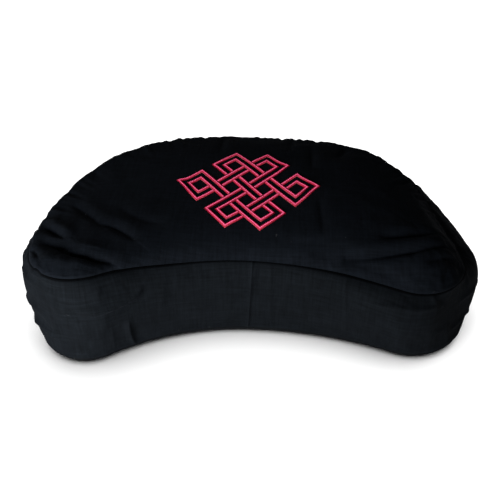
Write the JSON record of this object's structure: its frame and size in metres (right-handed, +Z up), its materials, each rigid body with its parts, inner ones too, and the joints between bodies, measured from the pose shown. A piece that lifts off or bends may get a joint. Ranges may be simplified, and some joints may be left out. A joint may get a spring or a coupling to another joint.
{
  "type": "crescent meditation cushion",
  "caption": "Crescent meditation cushion with a crowned top, a bulging side band, a flat base and an embroidered endless knot, for sitting cross-legged on the floor.",
  "frame": {"origin": "on the floor under the middle of the cushion's box", "axes": "+Z up, the concave front faces -Y and +X runs to the right horn as seen from the front"},
  "size_m": [0.4536, 0.2606, 0.1375],
  "materials": {
    "black_cotton": "matt black plain-woven cotton, slightly blue in the light",
    "crimson_thread": "shiny crimson and pink satin stitch"
  },
  "bodies": {
    "root": {"cushion": "black_cotton", "knot_embroidery": "crimson_thread"}
  },
  "joints": []
}
